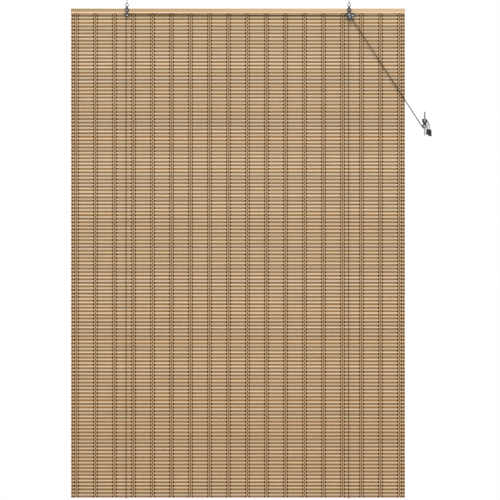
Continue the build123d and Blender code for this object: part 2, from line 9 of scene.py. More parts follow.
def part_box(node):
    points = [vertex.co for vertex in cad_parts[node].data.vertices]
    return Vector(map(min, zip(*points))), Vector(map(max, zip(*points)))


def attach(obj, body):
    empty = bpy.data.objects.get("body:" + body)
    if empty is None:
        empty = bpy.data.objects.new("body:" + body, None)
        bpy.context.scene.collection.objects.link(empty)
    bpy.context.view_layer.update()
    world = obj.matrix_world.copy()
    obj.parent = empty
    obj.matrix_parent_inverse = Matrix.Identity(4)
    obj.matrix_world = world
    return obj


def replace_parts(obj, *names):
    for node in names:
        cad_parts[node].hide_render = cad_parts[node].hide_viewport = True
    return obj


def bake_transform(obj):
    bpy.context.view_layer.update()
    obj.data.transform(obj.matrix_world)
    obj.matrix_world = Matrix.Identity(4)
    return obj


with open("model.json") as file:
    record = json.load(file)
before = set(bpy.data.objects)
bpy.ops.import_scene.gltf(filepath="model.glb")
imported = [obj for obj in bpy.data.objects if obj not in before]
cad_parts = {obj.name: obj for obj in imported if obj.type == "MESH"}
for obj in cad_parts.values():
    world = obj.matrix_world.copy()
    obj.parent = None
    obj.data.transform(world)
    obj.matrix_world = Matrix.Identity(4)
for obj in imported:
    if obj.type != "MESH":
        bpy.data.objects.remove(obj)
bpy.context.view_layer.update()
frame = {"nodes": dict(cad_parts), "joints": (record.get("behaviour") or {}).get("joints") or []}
mm = 0.001
tiny = 1e-6  # how near counts as the same
smoothAngle = math.radians(40)  # faces that meet at less than this are shaded as one


def colour(red, green, blue):
    # a screen colour, 0 to 255, as the linear colour that the shaders take
    return tuple((c / 255 / 12.92) if c < 10 else ((c / 255 + 0.055) / 1.055) ** 2.4
                 for c in (red, green, blue)) + (1.0,)


def middleOf(node):
    return [(low + high) / 2 for low, high in zip(*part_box(node))]


def inMetres(points):
    return [tuple(c * mm for c in point) for point in points]


def addNode(tree, kind, values=None, **settings):
    made = tree.nodes.new(kind)
    for name, value in settings.items():
        setattr(made, name, value)
    for socket, value in (values or {}).items():
        if isinstance(value, bpy.types.NodeSocket):
            tree.links.new(value, made.inputs[socket])
        else:
            made.inputs[socket].default_value = value
    return made


def startMaterial(name):
    material = bpy.data.materials.new(name)
    material.use_nodes = True
    tree = material.node_tree
    return material, tree, tree.nodes["Principled BSDF"]


def grainNoise(tree, place, scale, size=1.0, detail=4.0):
    # noise stretched by a Mapping node
    mapped = addNode(tree, "ShaderNodeMapping", {"Vector": place, "Scale": scale})
    return addNode(tree, "ShaderNodeTexNoise", {"Vector": mapped.outputs[0], "Scale": size,
                                                "Detail": detail, "Roughness": 0.6}).outputs["Fac"]


def remap(tree, value, low, high, start=0.0, end=1.0):
    return addNode(tree, "ShaderNodeMapRange", {"Value": value, "From Min": low, "From Max": high,
                                                "To Min": start, "To Max": end}).outputs[0]


def maths(tree, operation, first, second=0.0):
    return addNode(tree, "ShaderNodeMath", {0: first, 1: second}, operation=operation).outputs[0]


def multiply(tree, base, amount):
    # a colour made darker or lighter by a number
    return addNode(tree, "ShaderNodeVectorMath", {0: base, "Scale": amount}, operation="SCALE").outputs[0]


def mixColours(tree, share, first, second):
    return addNode(tree, "ShaderNodeMix", {0: share, 6: first, 7: second}, data_type="RGBA").outputs[2]


def bump(tree, shader, height, strength, distance):
    made = addNode(tree, "ShaderNodeBump", {"Height": height, "Strength": strength, "Distance": distance})
    tree.links.new(made.outputs[0], shader.inputs["Normal"])


def finishPiece(bm, name, materials, smooth=True):
    # the mesh becomes a piece at the origin
    mesh = bpy.data.meshes.new(name)
    bm.to_mesh(mesh)
    bm.free()
    piece = bpy.data.objects.new(name, mesh)
    bpy.context.scene.collection.objects.link(piece)
    for material in materials:
        mesh.materials.append(material)
    if smooth:
        mesh.polygons.foreach_set("use_smooth", [True] * len(mesh.polygons))
        mesh.set_sharp_from_angle(angle=smoothAngle)
    return piece


def copyInto(bm, mesh, offset):
    # one more copy of a small mesh, moved into place; gives its vertices
    before = len(bm.verts)
    bm.from_mesh(mesh)
    bm.verts.ensure_lookup_table()
    added = bm.verts[before:]
    bmesh.ops.translate(bm, verts=added, vec=offset)
    return added


def edgesOf(verts):
    # each edge once, and in the same order in every run
    return list(dict.fromkeys(edge for vert in verts for edge in vert.link_edges))


def spun(bm, outline, steps):
    # a closed outline of (radius, height) turned round the Z axis
    verts = [bm.verts.new((radius, 0, height)) for radius, height in outline]
    edges = [bm.edges.new((a, b)) for a, b in zip(verts, verts[1:] + verts[:1])]
    bmesh.ops.spin(bm, geom=verts + edges, cent=(0, 0, 0), axis=(0, 0, 1), angle=math.tau, steps=steps,
                   use_merge=True)
    bmesh.ops.remove_doubles(bm, verts=bm.verts, dist=tiny)


# in the dictionaries of the finishes, four numbers are a noise's from and to and what they become, and a bump
# is its strength and its depth
bamboo = {
    "light": [(219, 194, 160), (215, 193, 157), (221, 193, 158), (213, 192, 162), (218, 194, 157)],
    "dark": [(152, 116, 70), (146, 116, 76), (155, 116, 67), (144, 114, 77), (150, 118, 72)],
    # the top and bottom tones on the next line are painted light at the mat's top and painted shade towards its
    # bottom
    "lift": [(0.86, 1.14), (0.90, 1.10)], "topPaintedLight": (1.05, 1.06, 1.10), "bottomPaintedShade": (0.90, 0.85, 0.80),
    "fibre": (7.0, 1500.0, 1.0), "fibreShade": (0.3, 0.7, 0.86, 1.13), "roughness": (0.2, 0.8, 0.48, 0.68),
    "blotch": (5.0, 90.0, 1.0), "blotchDetail": 2.0, "blotchShade": (0.3, 0.7, 0.93, 1.07),
    "knuckleSpacing": 0.34, "knuckleShift": 7.3, "knuckleWidth": 1.6 * mm, "knuckleCore": 0.4,
    "knuckleShade": 0.80, "specular": 0.3, "bump": (0.35, 0.2 * mm),
}


def bambooMaterial():
    material, tree, shader = startMaterial("bamboo")
    tint = addNode(tree, "ShaderNodeAttribute", attribute_name="tint")
    place = addNode(tree, "ShaderNodeUVMap", uv_map="slatPlace").outputs[0]
    fibre = grainNoise(tree, place, bamboo["fibre"])
    blotch = grainNoise(tree, place, bamboo["blotch"], detail=bamboo["blotchDetail"])
    shade = maths(tree, "MULTIPLY", remap(tree, fibre, *bamboo["fibreShade"]),
                  remap(tree, blotch, *bamboo["blotchShade"]))
    # knuckles of the cane: thin dark lines across each slat, shifted from slat to slat
    along = addNode(tree, "ShaderNodeSeparateXYZ", {0: place}).outputs[0]
    shift = maths(tree, "MULTIPLY", tint.outputs["Alpha"], bamboo["knuckleShift"])
    shifted = maths(tree, "ADD", along, shift)
    turn = maths(tree, "FRACT", maths(tree, "DIVIDE", shifted, bamboo["knuckleSpacing"]))
    away = maths(tree, "MULTIPLY", maths(tree, "ABSOLUTE", maths(tree, "SUBTRACT", turn, 0.5)),
                 bamboo["knuckleSpacing"])
    width = bamboo["knuckleWidth"]
    knuckle = remap(tree, away, width * bamboo["knuckleCore"], width, bamboo["knuckleShade"], 1.0)
    shade = maths(tree, "MULTIPLY", shade, knuckle)
    tree.links.new(multiply(tree, tint.outputs["Color"], shade), shader.inputs["Base Color"])
    tree.links.new(remap(tree, fibre, *bamboo["roughness"]), shader.inputs["Roughness"])
    shader.inputs["Specular IOR Level"].default_value = bamboo["specular"]
    bump(tree, shader, fibre, *bamboo["bump"])
    return material


yarn = {"dark": (62, 31, 4), "tan": (182, 148, 104), "slant": 35, "plyScale": 143.24367, "distortion": 1.5,
        "detail": 2.0, "plyShade": (0.0, 1.0, 0.78, 1.12), "roughness": 0.9, "specular": 0.05,
        "bump": (0.6, 0.2 * mm)}


def yarnMaterial():
    material, tree, shader = startMaterial("twined yarn")
    tint = addNode(tree, "ShaderNodeAttribute", attribute_name="tint")
    place = addNode(tree, "ShaderNodeUVMap", uv_map="slatPlace").outputs[0]
    turned = addNode(tree, "ShaderNodeMapping", {"Vector": place,
                                                 "Rotation": (0, 0, math.radians(yarn["slant"]))})
    ply = addNode(tree, "ShaderNodeTexWave", {"Vector": turned.outputs[0], "Scale": yarn["plyScale"],
                                              "Distortion": yarn["distortion"],
                                              "Detail": yarn["detail"]}).outputs["Fac"]
    tree.links.new(multiply(tree, tint.outputs["Color"], remap(tree, ply, *yarn["plyShade"])),
                   shader.inputs["Base Color"])
    shader.inputs["Roughness"].default_value = yarn["roughness"]
    shader.inputs["Specular IOR Level"].default_value = yarn["specular"]
    bump(tree, shader, ply, *yarn["bump"])
    return material


board = {"left": (174, 144, 101), "middle": (209, 178, 136), "right": (216, 183, 144), "halfLength": 0.75,
         # the edge colour and its two heights: a painted highlight along the batten's lower edge
         "edge": (252, 218, 174), "highlightHeight": 4.6 * mm, "highlightFade": 1.2 * mm,
         "grain": (3.5, 260.0, 260.0), "grainDetail": 5.0, "grainShade": (0.3, 0.7, 0.9, 1.08),
         "streak": (1.2, 70.0, 70.0), "streakDetail": 3.0, "streakShade": (0.3, 0.7, 0.9, 1.09),
         "roughness": (0.2, 0.8, 0.45, 0.65), "bump": (0.25, 0.3 * mm)}


def battenMaterial():
    material, tree, shader = startMaterial("planed batten wood")
    place = addNode(tree, "ShaderNodeTexCoord").outputs["Object"]
    split = addNode(tree, "ShaderNodeSeparateXYZ", {0: place})
    along = remap(tree, split.outputs[0], -board["halfLength"], board["halfLength"])
    ramp = addNode(tree, "ShaderNodeValToRGB", {0: along})
    ramp.color_ramp.elements[0].color = colour(*board["left"])
    ramp.color_ramp.elements[1].color = colour(*board["right"])
    ramp.color_ramp.elements.new(0.5).color = colour(*board["middle"])
    grain = grainNoise(tree, place, board["grain"], detail=board["grainDetail"])
    streak = grainNoise(tree, place, board["streak"], detail=board["streakDetail"])
    shade = maths(tree, "MULTIPLY", remap(tree, grain, *board["grainShade"]),
                  remap(tree, streak, *board["streakShade"]))
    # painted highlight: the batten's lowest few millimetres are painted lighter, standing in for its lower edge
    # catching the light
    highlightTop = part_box("top_batten")[0][2] + board["highlightHeight"]
    edge = remap(tree, split.outputs[2], highlightTop + board["highlightFade"], highlightTop)
    base = mixColours(tree, edge, ramp.outputs[0], colour(*board["edge"]))
    tree.links.new(multiply(tree, base, shade), shader.inputs["Base Color"])
    tree.links.new(remap(tree, grain, *board["roughness"]), shader.inputs["Roughness"])
    bump(tree, shader, grain, *board["bump"])
    return material


# the streak numbers on the second line make the painted highlight streaks in metalMaterial
metal = {"patches": 400.0, "detail": 5.0, "uneven": (0.25, 0.75), "gloss": (0.8, 1.25),
         "sheenStreakScale": (170.0, 170.0, 90.0), "sheenStreakSlant": 40, "sheenStreakDetail": 3.0, "sheenStreaks": (0.36, 0.74),
         "bump": (0.08, 0.2 * mm)}


def metalMaterial(name, base, roughness, metallic, spread=0.12, coat=0.0, above=None, paintedSheen=None):
    # plain metal, paint or plastic, a little uneven in gloss and colour; above is two heights and the colour
    # from the second one up, and the last argument is the colour of lighter slanted streaks, a painted highlight
    # that stands in for sheen
    material, tree, shader = startMaterial(name)
    place = addNode(tree, "ShaderNodeTexCoord").outputs["Object"]
    uneven = grainNoise(tree, place, (1.0, 1.0, 1.0), size=metal["patches"], detail=metal["detail"])
    painted = colour(*base)
    # painted highlight: lighter slanted streaks mixed into the colour in place of sheen
    if paintedSheen:
        slanted = addNode(tree, "ShaderNodeMapping",
                          {"Vector": place, "Rotation": (0, math.radians(metal["sheenStreakSlant"]), 0),
                           "Scale": metal["sheenStreakScale"]})
        sheenStreaks = addNode(tree, "ShaderNodeTexNoise", {"Vector": slanted.outputs[0], "Scale": 1.0,
                                                      "Detail": metal["sheenStreakDetail"]}).outputs["Fac"]
        painted = mixColours(tree, remap(tree, sheenStreaks, *metal["sheenStreaks"]), painted, colour(*paintedSheen))
    if above:
        height = addNode(tree, "ShaderNodeSeparateXYZ", {0: place}).outputs[2]
        painted = mixColours(tree, remap(tree, height, above[0], above[1]), painted, colour(*above[2]))
    if isinstance(painted, tuple):
        painted = painted[:3]
    tree.links.new(multiply(tree, painted, remap(tree, uneven, *metal["uneven"], 1 - spread, 1 + spread)),
                   shader.inputs["Base Color"])
    gloss = [roughness * share for share in metal["gloss"]]
    tree.links.new(remap(tree, uneven, *metal["uneven"], *gloss), shader.inputs["Roughness"])
    shader.inputs["Metallic"].default_value = metallic
    shader.inputs["Coat Weight"].default_value = coat
    bump(tree, shader, uneven, *metal["bump"])
    return material


cordLook = {"base": (44, 28, 11), "fleck": (72, 50, 24), "fibre": (1.0, 1.0, 0.5), "fibreScale": 1800.0,
            "detail": 3.0, "flecked": (0.35, 0.75), "roughness": 0.85, "sheen": 0.05, "specular": 0.12,
            "bump": (0.5, 0.2 * mm)}


def cordMaterial():
    material, tree, shader = startMaterial("brown cord")
    place = addNode(tree, "ShaderNodeTexCoord").outputs["Object"]
    fibre = grainNoise(tree, place, cordLook["fibre"], size=cordLook["fibreScale"], detail=cordLook["detail"])
    tree.links.new(mixColours(tree, remap(tree, fibre, *cordLook["flecked"]), colour(*cordLook["base"]),
                              colour(*cordLook["fleck"])), shader.inputs["Base Color"])
    shader.inputs["Roughness"].default_value = cordLook["roughness"]
    shader.inputs["Sheen Weight"].default_value = cordLook["sheen"]
    shader.inputs["Specular IOR Level"].default_value = cordLook["specular"]
    bump(tree, shader, fibre, *cordLook["bump"])
    return material


bambooLook = bambooMaterial()
yarnLook = yarnMaterial()
battenLook = battenMaterial()
cordFinish = cordMaterial()
brightWire = metalMaterial("bright plated wire", base=(128, 130, 136), roughness=0.22, metallic=1.0)
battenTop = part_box("top_batten")[1][2]
# the hanger plate's lighter streaks are a painted highlight
hangerPaint = metalMaterial("dark hanger plate", base=(64, 53, 60), roughness=0.3, metallic=0.75, spread=0.25,
                            above=(battenTop + 4.0 * mm, battenTop + 5.2 * mm, (10, 9, 10)),
                            paintedSheen=(150, 134, 142))
steelLook = metalMaterial("bright steel", base=(240, 240, 243), roughness=0.26, metallic=1.0)
# the pulley frame's lighter streaks are a painted highlight
pulleyPaint = metalMaterial("dark pulley frame", base=(58, 66, 64), roughness=0.38, metallic=0.6, spread=0.2,
                            paintedSheen=(86, 97, 93))
wheelLook = metalMaterial("moulded pulley wheel", base=(38, 38, 41), roughness=0.55, metallic=0.0)
# painted light and shade: the cleat's upper half is painted darker and its lower horn lighter, for the lower
# horn catching the light
cleatMiddle = middleOf("cord_cleat")[2]
cleatPaint = metalMaterial("grey cast cleat", base=(172, 177, 181), roughness=0.42, metallic=0.8, spread=0.15,
                           above=(cleatMiddle, cleatMiddle + 25 * mm, (112, 119, 124)))
blackPlastic = metalMaterial("black moulded pull", base=(12, 12, 13), roughness=0.24, metallic=0.0, coat=0.15)
greyPlastic = metalMaterial("dark grey moulded pull", base=(54, 57, 59), roughness=0.4, metallic=0.0)

nodeLooks = {
    "top_batten": battenLook, "staples": steelLook, "hanger_screws": steelLook, "guide_pin": steelLook,
    "pulley_axle_left": steelLook, "pulley_axle_right": steelLook, "pulley_wheel_left": wheelLook,
    "pulley_wheel_right_rear": wheelLook, "pulley_wheel_right_front": wheelLook, "pulley_screws": steelLook,
    "cord_end_knots": cordFinish, "cleat_screws": steelLook, "pull_knots": cordFinish,
}
for nodeName, look in nodeLooks.items():
    carried = frame["nodes"][nodeName].data.materials
    carried.clear()
    carried.append(look)
print("materials made")

mat = {"lightHeight": 6.4 * mm, "darkHeight": 9.2 * mm, "gap": 0.2 * mm, "thickness": 1.6 * mm,
       "step": 0.8 * mm, "stations": 16, "wobble": 0.12 * mm, "wobbleAlong": 3, "wobbleRow": 7.7,
       "corner": 0.35 * mm, "endTrim": 0.9 * mm, "bendZone": 24 * mm, "bendPairs": 2}
strands = {"lines": 18, "pitch": 85.35 * mm, "offsets": (-8.8 * mm, 0.0, 8.8 * mm), "edgeX": 744.8 * mm,
           "width": 4.8 * mm, "height": 0.6 * mm, "sink": 0.12 * mm, "endWidth": 0.8, "topWidth": 0.62,
           "endHeight": 0.3, "fade": (0.88, 1.1)}
pairPitch = mat["lightHeight"] + mat["darkHeight"] + 2 * mat["gap"]
headLow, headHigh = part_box("mat_head")
matTop = headHigh[2] + mat["gap"] / 2
matLeft, matRight = headLow[0], headHigh[0]
lightFront = headLow[1]
darkFront = lightFront + mat["step"]
sectionNodes = sorted(n for n in frame["nodes"] if n.startswith("mat_section_"))
sectionPairs = [round((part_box(n)[1][2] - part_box(n)[0][2]) / pairPitch) for n in sectionNodes]
headPairs = round((headHigh[2] - headLow[2]) / pairPitch)
totalPairs = headPairs + sum(sectionPairs)


def lengthwise(bm):
    return [e for e in bm.edges if abs(e.verts[0].co.x - e.verts[1].co.x) > mat["corner"]]


def slatMesh(height, front):
    # one slat below z = 0, with its front edges bevelled and cuts along it for its uneven edges
    bm = bmesh.new()
    bmesh.ops.create_cube(bm, size=1)
    bmesh.ops.scale(bm, verts=bm.verts, vec=(matRight - matLeft, mat["thickness"], height))
    bmesh.ops.translate(bm, verts=bm.verts, vec=(0, front + mat["thickness"] / 2, -height / 2))
    atFront = [e for e in lengthwise(bm) if e.verts[0].co.y < front + mat["corner"]]
    bmesh.ops.bevel(bm, geom=atFront, offset=mat["corner"], affect="EDGES", segments=1, profile=0.5, material=-1)
    bmesh.ops.subdivide_edges(bm, edges=lengthwise(bm), cuts=mat["stations"] - 1)
    mesh = bpy.data.meshes.new("slat")
    bm.to_mesh(mesh)
    bm.free()
    return mesh


def stitchMesh(height, face, outward):
    # the part of a strand that shows over one slat: a low pillow whose ends go into the gaps
    bm = bmesh.new()
    bmesh.ops.create_cube(bm, size=1)
    upright = [e for e in bm.edges if abs(e.verts[0].co.z - e.verts[1].co.z) > 0.5]
    bmesh.ops.subdivide_edges(bm, edges=upright, cuts=1)
    outer = [v for v in bm.verts if v.co.y * outward > 0]
    ends = [v for v in bm.verts if abs(v.co.z) > 0.25]
    bmesh.ops.scale(bm, verts=outer, vec=(strands["topWidth"], 1, 1))
    bmesh.ops.scale(bm, verts=ends, vec=(strands["endWidth"], 1, 1))
    bmesh.ops.scale(bm, verts=[v for v in outer if v in ends], vec=(1, strands["endHeight"], 1))
    for vert in bm.verts:
        vert.co.y = outward * (strands["height"] * 2 * abs(vert.co.y) if vert in outer else -strands["sink"])
    bmesh.ops.scale(bm, verts=bm.verts, vec=(strands["width"], 1, height))
    bmesh.ops.translate(bm, verts=bm.verts, vec=(0, face, -height / 2))
    mesh = bpy.data.meshes.new("stitch")
    bm.to_mesh(mesh)
    bm.free()
    return mesh


# where each strand is along a slat, and whether it is the middle one of its line
strandPlaces = [(side * strands["edgeX"], False) for side in (-1, 1)]
for line in range(strands["lines"]):
    middle = (line - (strands["lines"] - 1) / 2) * strands["pitch"]
    strandPlaces += [(middle + offset, offset == 0.0) for offset in strands["offsets"]]


def pairMesh():
    # a light and a dark slat with all their stitches, below z = 0, as the repeat that the mat is made of
    bm = bmesh.new()
    kind = bm.verts.layers.int.new("kind")  # 0 a light slat, 1 a dark slat, 2 a dark stitch, 3 a tan stitch
    rows = ((0, -mat["gap"] / 2, mat["lightHeight"], lightFront),
            (1, -mat["gap"] * 1.5 - mat["lightHeight"], mat["darkHeight"], darkFront))
    for row, z, height, front in rows:
        for vert in copyInto(bm, slatMesh(height, front), (0, 0, z)):
            vert[kind] = row
    for row, z, height, front in rows:
        for face, outward in ((front, -1), (front + mat["thickness"], 1)):
            stitch = stitchMesh(height + mat["gap"], face, outward)
            for x, isMiddle in strandPlaces:
                # the middle strand is twined half a turn away from its neighbours
                darkShows = (row == (1 if outward < 0 else 0)) != isMiddle
                for vert in copyInto(bm, stitch, (x, 0, z + mat["gap"] / 2)):
                    vert[kind] = 2 if darkShows else 3
    mesh = bpy.data.meshes.new("pair")
    bm.to_mesh(mesh)
    bm.free()
    return mesh


def withPaintedShade(base, lift, pair):
    # painted light and shade: the mat is painted a little lighter at its top and darker and warmer towards its
    # bottom, for the fall of the light over its height
    share = pair / totalPairs
    return [c * lift * (top + (bottom - top) * share)
            for c, top, bottom in zip(base[:3], bamboo["topPaintedLight"], bamboo["bottomPaintedShade"])]


def matPiece(name, firstPair, pairs):
    # some pairs of the mat, counted from its top, each slat with its own tint and its own uneven edges
    bm = bmesh.new()
    for pair in range(firstPair, firstPair + pairs):
        copyInto(bm, pairTile, (0, 0, matTop - pair * pairPitch))
    kind = bm.verts.layers.int["kind"]
    tint = bm.verts.layers.float_color.new("tint")
    place = bm.loops.layers.uv.new("slatPlace")
    for vert in bm.verts:
        what = vert[kind]
        pair = int((matTop - vert.co.z) / pairPitch - tiny)
        if what < 2:
            pick = random.Random(pair * 2 + what)
            base = colour(*pick.choice(bamboo["dark" if what else "light"]))
            lift = pick.uniform(*bamboo["lift"][what])
            vert[tint] = (*withPaintedShade(base, lift, pair), pick.random())
            seed = Vector((vert.co.x * mat["wobbleAlong"], (pair * 2 + what) * mat["wobbleRow"], 0))
            vert.co.z += noise.noise(seed) * mat["wobble"]
            trims = pick.uniform(0, mat["endTrim"]), pick.uniform(0, mat["endTrim"])
            if vert.co.x < matLeft + mat["corner"]:
                vert.co.x += trims[0]
            elif vert.co.x > matRight - mat["corner"]:
                vert.co.x -= trims[1]
        else:
            # a stitch's shade goes with its pair, its place along the slat to 10 mm, and its kind
            pick = random.Random(pair * 131 + round(vert.co.x * 100) * 7 + what)
            base = colour(*yarn["dark" if what == 2 else "tan"])
            vert[tint] = (*withPaintedShade(base, pick.uniform(*strands["fade"]), pair), 1.0)
    for face in bm.faces:
        face.material_index = 0 if face.verts[0][kind] < 2 else 1
        for loop in face.loops:
            loop[place].uv = (loop.vert.co.x, loop.vert.co.z + loop.vert.co.y)
    bm.verts.layers.int.remove(kind)
    return finishPiece(bm, name, [bambooLook, yarnLook])


pairTile = pairMesh()
yarnNodes = ("warp_yarns_front", "warp_yarns_back")
hinges = [Vector(j["pos_m"]) for j in frame["joints"] if j["name"].startswith("roll_")]
splits, start = [], headPairs
for pairs in sectionPairs:
    splits.append((start, start + pairs // 2))  # hinge, and the pair where the next piece begins
    start += pairs
headEnd = headPairs - mat["bendPairs"]
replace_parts(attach(matPiece("matHead", 0, headEnd), "batten"), "mat_head", *yarnNodes)
previousSplit = headEnd
bendZones = []
for index, (hingePair, split) in enumerate(splits):
    last = index == len(splits) - 1
    endPair = totalPairs if last else split
    zone = min(mat["bendZone"], (hingePair - previousSplit) * pairPitch, (split - hingePair) * pairPitch)
    hinge = hinges[index]
    bendZones.append((previousSplit, endPair, hinge, zone))
    piece = matPiece(f"matTurn{index + 1:02d}", previousSplit, endPair - previousSplit)
    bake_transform(piece)
    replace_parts(piece, sectionNodes[index], *yarnNodes)
    previousSplit = split
print("mat made:", totalPairs, "pairs")

hangerLoop = {"widen": 2.2, "clear": 1.7 * mm, "full": 2.5 * mm, "middleZ": -17.15 * mm, "low": -22.5 * mm,
              "depth": 7 * mm}


def widenLoop(bm):
    # a hanger's loop is a band, narrower where it passes through the ring of the hook
    sides = [vert.co.x for vert in bm.verts]
    middle = (min(sides) + max(sides)) / 2
    for vert in bm.verts:
        off = abs(vert.co.y)
        if vert.co.z > hangerLoop["low"] and off < hangerLoop["depth"]:
            share = (off - hangerLoop["clear"]) / (hangerLoop["full"] - hangerLoop["clear"])
            if vert.co.z < hangerLoop["middleZ"]:
                share = 1
            vert.co.x = middle + (vert.co.x - middle) * (1 + hangerLoop["widen"] * min(max(share, 0), 1))


horns = {"root": 13 * mm, "tip": 54 * mm, "taper": 0.62, "cuts": 4, "curve": 1.5}


def taperHorns(bm):
    # the cleat's horns grow narrower from its body to their tips
    low, high = (Vector(corner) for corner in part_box("cord_cleat"))
    middle = (low + high) / 2
    reach = horns["tip"] - horns["root"]
    for side in (-1, 1):
        for cutAt in range(horns["cuts"]):
            z = middle.z + side * (horns["root"] + reach * cutAt / horns["cuts"])
            bmesh.ops.bisect_plane(bm, geom=list(bm.verts) + list(bm.edges) + list(bm.faces),
                                   plane_co=(0, 0, z), plane_no=(0, 0, 1))
    for vert in bm.verts:
        along = (abs(vert.co.z - middle.z) - horns["root"]) / reach
        if along > 0 and vert.co.y < high.y - horns["root"]:
            narrower = 1 - (1 - horns["taper"]) * along ** horns["curve"]
            vert.co.x = middle.x + (vert.co.x - middle.x) * narrower


metalEdges = {"sharp": 50, "flat": 1.5, "segments": 2, "frame": 0.3 * mm, "hanger": 0.25 * mm,
              "cleat": 0.8 * mm}


def softenedPiece(nodeName, name, look, body, edge, reshape=None):
    # a copy of a pressed or cast part with its sharp edges rounded
    bm = bmesh.new()
    bm.from_mesh(frame["nodes"][nodeName].data)
    bmesh.ops.remove_doubles(bm, verts=bm.verts, dist=tiny)
    bmesh.ops.dissolve_limit(bm, angle_limit=math.radians(metalEdges["flat"]), verts=bm.verts, edges=bm.edges)
    if reshape:
        reshape(bm)
    sharpAngle = math.radians(metalEdges["sharp"])
    sharp = [e for e in bm.edges if len(e.link_faces) == 2 and e.calc_face_angle() > sharpAngle]
    bmesh.ops.bevel(bm, geom=sharp, offset=edge, affect="EDGES", segments=metalEdges["segments"], profile=0.5,
                    material=-1, clamp_overlap=True)
    piece = finishPiece(bm, name, [look])
    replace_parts(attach(piece, body), nodeName)


for side in ("left", "right"):
    softenedPiece(f"hanger_{side}", f"hanger{side.title()}", hangerPaint, "batten",
                  metalEdges["hanger"], widenLoop)
    softenedPiece(f"pulley_frame_{side}", f"pulleyFrame{side.title()}", pulleyPaint, "batten",
                  metalEdges["frame"])
softenedPiece("cord_cleat", "cordCleat", cleatPaint, "ceiling", metalEdges["cleat"], taperHorns)
print("metal parts softened")

hook = {"wire": 1.5 * mm, "wireSides": 14, "ring": 7.0 * mm, "ringSteps": 40, "gapAngle": 14,
        "collar": 3.5 * mm, "collarHeight": 1.2 * mm, "collarEdge": 0.3 * mm, "overlap": 0.4 * mm,
        "neck": 2.4 * mm, "neckTop": 6.5 * mm, "neckSlope": 0.8 * mm, "root": 1.15 * mm,
        "thread": 1.65 * mm, "threadFoot": 0.2 * mm, "threadShare": 0.3, "pitch": 1.5 * mm, "turns": 9,
        "tipStart": 18.0 * mm, "tip": 22.0 * mm, "tipRadius": 0.3 * mm, "segments": 24}


def closeEnds(bm, firstEdges, lastGeometry):
    for ring in (firstEdges, [g for g in lastGeometry if isinstance(g, bmesh.types.BMEdge)]):
        bmesh.ops.edgeloop_fill(bm, edges=ring)


def hookPiece(name, x):
    # a screw hook: a ring of wire, closed but for the cut beside its neck, a collar, a neck and a coarse thread
    bm = bmesh.new()
    circle = bmesh.ops.create_circle(bm, segments=hook["wireSides"], radius=hook["wire"])["verts"]
    bmesh.ops.translate(bm, verts=circle, vec=(hook["ring"], 0, 0))
    bmesh.ops.rotate(bm, verts=circle, matrix=Matrix.Rotation(math.radians(-90), 3, "Y"))
    edges = edgesOf(circle)
    made = bmesh.ops.spin(bm, geom=circle + edges, cent=(0, 0, 0), axis=(0, 1, 0),
                          angle=math.radians(360 - hook["gapAngle"]), steps=hook["ringSteps"])
    closeEnds(bm, edges, made["geom_last"])
    bmesh.ops.translate(bm, verts=bm.verts, vec=(0, 0, -hook["collarHeight"] - hook["ring"]))
    wire, collar, neck, root = hook["wire"], hook["collar"], hook["neck"], hook["root"]
    low, edge, neckTop = -hook["collarHeight"], hook["collarEdge"], hook["neckTop"]
    spun(bm, [(0, low - hook["overlap"]), (wire, low - hook["overlap"]), (wire, low), (collar - edge, low),
              (collar, low + edge), (collar, -edge), (collar - edge, 0), (neck, 0),
              (neck, neckTop - hook["neckSlope"]), (root, neckTop), (root, hook["tipStart"]),
              (hook["tipRadius"], hook["tip"]), (0, hook["tip"])], hook["segments"])
    # the thread: a ridge carried round and up the root
    foot, half = root - hook["threadFoot"], hook["pitch"] * hook["threadShare"]
    ridge = [bm.verts.new(p) for p in ((foot, 0, -half), (hook["thread"], 0, 0), (foot, 0, half))]
    edges = [bm.edges.new((a, b)) for a, b in zip(ridge, ridge[1:] + ridge[:1])]
    bmesh.ops.translate(bm, verts=ridge, vec=(0, 0, neckTop - hook["overlap"]))
    made = bmesh.ops.spin(bm, geom=ridge + edges, cent=(0, 0, 0), axis=(0, 0, 1),
                          angle=math.tau * hook["turns"], steps=hook["turns"] * hook["segments"],
                          dvec=(0, 0, hook["pitch"] / hook["segments"]))
    closeEnds(bm, edges, made["geom_last"])
    bmesh.ops.recalc_face_normals(bm, faces=bm.faces)
    bmesh.ops.translate(bm, verts=bm.verts, vec=(x, 0, 0))
    return finishPiece(bm, name, [brightWire])


for side in ("left", "right"):
    hookX = middleOf(f"ceiling_hook_{side}")[0]
    piece = hookPiece(f"ceilingHook{side.title()}", hookX)
    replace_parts(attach(piece, "ceiling"), f"ceiling_hook_{side}")
print("hooks made")

rivet = {"x": 499 * mm, "z": -51.2 * mm, "radius": 2.5 * mm, "height": 0.9 * mm, "sink": 0.3 * mm,
         "sideShare": 0.3, "crownRadius": 0.7, "crownShare": 0.85, "segments": 24}
bm = bmesh.new()
spun(bm, [(0, -rivet["sink"]), (rivet["radius"], -rivet["sink"]),
          (rivet["radius"], rivet["height"] * rivet["sideShare"]),
          (rivet["radius"] * rivet["crownRadius"], rivet["height"] * rivet["crownShare"]),
          (0, rivet["height"])], rivet["segments"])
bmesh.ops.rotate(bm, verts=bm.verts, matrix=Matrix.Rotation(math.radians(90), 3, "X"))
bmesh.ops.translate(bm, verts=bm.verts, vec=(rivet["x"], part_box("pulley_frame_right")[0][1], rivet["z"]))
bmesh.ops.recalc_face_normals(bm, faces=bm.faces)
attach(finishPiece(bm, "frameRivet", [steelLook]), "batten")
print("rivet made")

